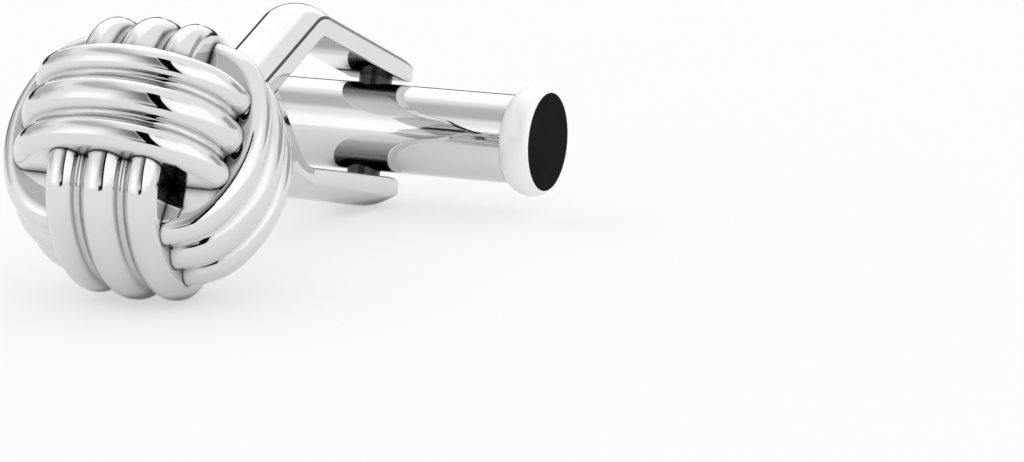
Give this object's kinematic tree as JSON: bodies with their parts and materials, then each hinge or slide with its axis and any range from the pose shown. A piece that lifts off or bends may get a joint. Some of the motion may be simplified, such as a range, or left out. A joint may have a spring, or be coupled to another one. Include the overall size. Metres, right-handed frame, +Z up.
{
  "type": "cufflink",
  "caption": "Knot cufflink: a ball of woven triple-ribbed strands on a forked post, with a swinging toggle bar that locks it behind a shirt cuff.",
  "frame": {"origin": "on the table the cufflink lies on, under the middle of its box", "axes": "+X along the closed toggle bar to its black end, +Y from the knot to the toggle, +Z up"},
  "size_m": [0.0188, 0.0308, 0.0124],
  "materials": {
    "knot_steel": "mirror polished steel",
    "fork_steel": "mirror polished steel",
    "toggle_steel": "mirror polished steel",
    "spring_steel": "bare spring strip",
    "black_inlay": "glossy black resin"
  },
  "bodies": {
    "link": {"knot_core": "knot_steel", "front_strand": "knot_steel", "back_strand": "knot_steel", "bottom_strand": "knot_steel", "top_strand": "knot_steel", "right_strand": "knot_steel", "left_strand": "knot_steel", "upper_arm": "fork_steel", "lower_arm": "fork_steel", "hinge_pin": "fork_steel"},
    "toggle": {"toggle_barrel": "toggle_steel", "inlay_collar": "toggle_steel", "inlay_disc": "black_inlay", "plain_collar": "toggle_steel", "plain_disc": "toggle_steel", "detent_spring": "spring_steel"}
  },
  "joints": [
    {"name": "toggle_swing", "type": "hinge", "parent": "link", "child": "toggle", "pos_m": [0, 0.01277, 0.00372], "axis": [0, 0.31, 0.9507], "range_deg": [-90, 90]}
  ]
}
